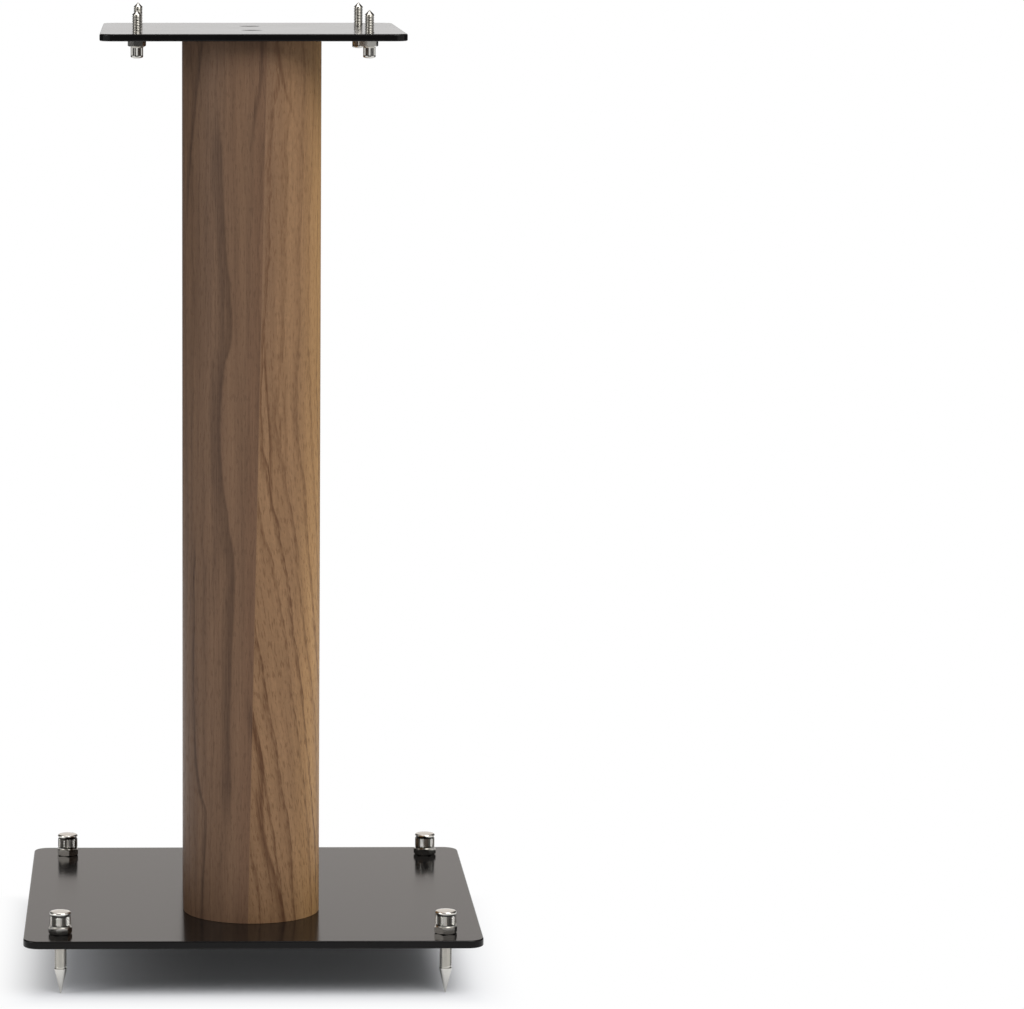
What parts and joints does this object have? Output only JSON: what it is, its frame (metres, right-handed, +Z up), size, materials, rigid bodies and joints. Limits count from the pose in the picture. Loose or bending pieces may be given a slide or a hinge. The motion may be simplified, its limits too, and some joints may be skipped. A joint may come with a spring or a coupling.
{
  "type": "speaker stand",
  "caption": "Upright floor stand for a loudspeaker: black base and top plates on a walnut column, height-adjustable floor spikes below and short support points on top.",
  "frame": {"origin": "centre of the base plate at floor level, where the floor spikes' tips stand", "axes": "+Z up along the column; +X to the right seen from the front; +Y to the back"},
  "size_m": [0.288, 0.28, 0.614],
  "materials": {
    "black_coat": "satin black powder coat",
    "walnut_veneer": "satin walnut veneer over fibreboard",
    "nickel": "bright nickel plate on turned steel",
    "black_screw": "blackened steel",
    "brass": "plain turned brass"
  },
  "bodies": {
    "stand": {"base_plate": "black_coat", "column": "walnut_veneer", "top_plate": "black_coat", "base_screw_front": "black_screw", "base_insert_front": "brass", "top_screw_front": "black_screw", "top_insert_front": "brass", "base_screw_rear": "black_screw", "base_insert_rear": "brass", "top_screw_rear": "black_screw", "top_insert_rear": "brass"},
    "floor_spike_front_left": {"floor_spike_front_left": "nickel"},
    "floor_locknut_front_left": {"floor_locknut_front_left": "nickel"},
    "top_spike_front_left": {"top_spike_front_left": "nickel"},
    "top_locknut_front_left": {"top_locknut_front_left": "nickel"},
    "floor_spike_front_right": {"floor_spike_front_right": "nickel"},
    "floor_locknut_front_right": {"floor_locknut_front_right": "nickel"},
    "top_spike_front_right": {"top_spike_front_right": "nickel"},
    "top_locknut_front_right": {"top_locknut_front_right": "nickel"},
    "floor_spike_rear_left": {"floor_spike_rear_left": "nickel"},
    "floor_locknut_rear_left": {"floor_locknut_rear_left": "nickel"},
    "top_spike_rear_left": {"top_spike_rear_left": "nickel"},
    "top_locknut_rear_left": {"top_locknut_rear_left": "nickel"},
    "floor_spike_rear_right": {"floor_spike_rear_right": "nickel"},
    "floor_locknut_rear_right": {"floor_locknut_rear_right": "nickel"},
    "top_spike_rear_right": {"top_spike_rear_right": "nickel"},
    "top_locknut_rear_right": {"top_locknut_rear_right": "nickel"}
  },
  "joints": [
    {"name": "floor_spike_front_left_height", "type": "slide", "parent": "stand", "child": "floor_spike_front_left", "axis": [0, 0, 1], "range_m": [0, 0.012]},
    {"name": "floor_locknut_front_left_turn", "type": "hinge", "parent": "stand", "child": "floor_locknut_front_left", "pos_m": [-0.121, -0.117, 0.0407], "axis": [0, 0, 1], "continuous": true},
    {"name": "top_spike_front_left_height", "type": "slide", "parent": "stand", "child": "top_spike_front_left", "axis": [0, 0, 1], "range_m": [-0.014, 0]},
    {"name": "top_locknut_front_left_turn", "type": "hinge", "parent": "stand", "child": "top_locknut_front_left", "pos_m": [-0.072, -0.082, 0.5935], "axis": [0, 0, 1], "continuous": true},
    {"name": "floor_spike_front_right_height", "type": "slide", "parent": "stand", "child": "floor_spike_front_right", "axis": [0, 0, 1], "range_m": [0, 0.012]},
    {"name": "floor_locknut_front_right_turn", "type": "hinge", "parent": "stand", "child": "floor_locknut_front_right", "pos_m": [0.121, -0.117, 0.0407], "axis": [0, 0, 1], "continuous": true},
    {"name": "top_spike_front_right_height", "type": "slide", "parent": "stand", "child": "top_spike_front_right", "axis": [0, 0, 1], "range_m": [-0.014, 0]},
    {"name": "top_locknut_front_right_turn", "type": "hinge", "parent": "stand", "child": "top_locknut_front_right", "pos_m": [0.072, -0.082, 0.5935], "axis": [0, 0, 1], "continuous": true},
    {"name": "floor_spike_rear_left_height", "type": "slide", "parent": "stand", "child": "floor_spike_rear_left", "axis": [0, 0, 1], "range_m": [0, 0.012]},
    {"name": "floor_locknut_rear_left_turn", "type": "hinge", "parent": "stand", "child": "floor_locknut_rear_left", "pos_m": [-0.121, 0.117, 0.0407], "axis": [0, 0, 1], "continuous": true},
    {"name": "top_spike_rear_left_height", "type": "slide", "parent": "stand", "child": "top_spike_rear_left", "axis": [0, 0, 1], "range_m": [-0.014, 0]},
    {"name": "top_locknut_rear_left_turn", "type": "hinge", "parent": "stand", "child": "top_locknut_rear_left", "pos_m": [-0.072, 0.082, 0.5935], "axis": [0, 0, 1], "continuous": true},
    {"name": "floor_spike_rear_right_height", "type": "slide", "parent": "stand", "child": "floor_spike_rear_right", "axis": [0, 0, 1], "range_m": [0, 0.012]},
    {"name": "floor_locknut_rear_right_turn", "type": "hinge", "parent": "stand", "child": "floor_locknut_rear_right", "pos_m": [0.121, 0.117, 0.0407], "axis": [0, 0, 1], "continuous": true},
    {"name": "top_spike_rear_right_height", "type": "slide", "parent": "stand", "child": "top_spike_rear_right", "axis": [0, 0, 1], "range_m": [-0.014, 0]},
    {"name": "top_locknut_rear_right_turn", "type": "hinge", "parent": "stand", "child": "top_locknut_rear_right", "pos_m": [0.072, 0.082, 0.5935], "axis": [0, 0, 1], "continuous": true}
  ]
}
